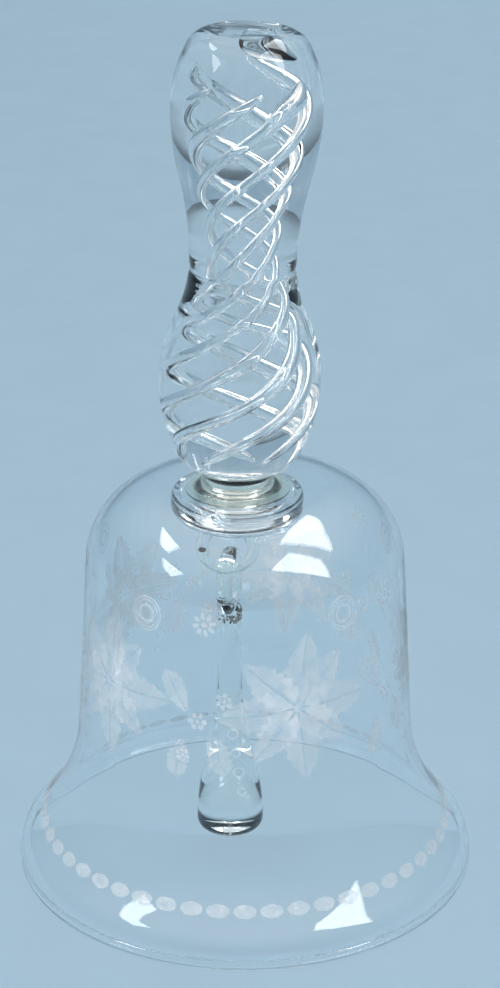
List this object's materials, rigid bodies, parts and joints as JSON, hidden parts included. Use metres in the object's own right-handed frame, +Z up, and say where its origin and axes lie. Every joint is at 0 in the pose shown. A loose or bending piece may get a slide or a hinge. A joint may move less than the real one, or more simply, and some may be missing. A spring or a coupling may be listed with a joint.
{
  "type": "hand bell",
  "caption": "Clear glass hand bell with a flared bowl, an air-twist handle and a glass clapper hung from a ring under the crown.",
  "frame": {"origin": "centre of the rim's ground face, which stands on the table", "axes": "+Z up along the bell's axis, -Y the front, +X to the right seen from the front"},
  "size_m": [0.14, 0.14, 0.2572],
  "materials": {
    "bowl_glass": "thin blown clear glass, polished, with frosted wheel engraving",
    "handle_glass": "thick clear glass, polished",
    "clapper_glass": "thick clear glass, fire polished",
    "cement": "old yellowed clear cement",
    "dark_joint": "dark grainy fused joint"
  },
  "bodies": {
    "bell": {"bell_bowl": "bowl_glass", "handle_casing": "handle_glass", "twist_core": "handle_glass", "handle_neck": "handle_glass", "neck_cement": "cement", "crown_disc": "handle_glass", "disc_cement": "cement", "hanger_ring": "clapper_glass"},
    "clapper": {"clapper_eye": "clapper_glass", "clapper_bead": "dark_joint", "clapper_rod": "clapper_glass"}
  },
  "joints": [
    {"name": "clapper_swing", "type": "hinge", "parent": "bell", "child": "clapper", "pos_m": [-0.0046, 0, 0.09512], "axis": [1, 0, 0], "range_deg": [-30, 30]}
  ]
}
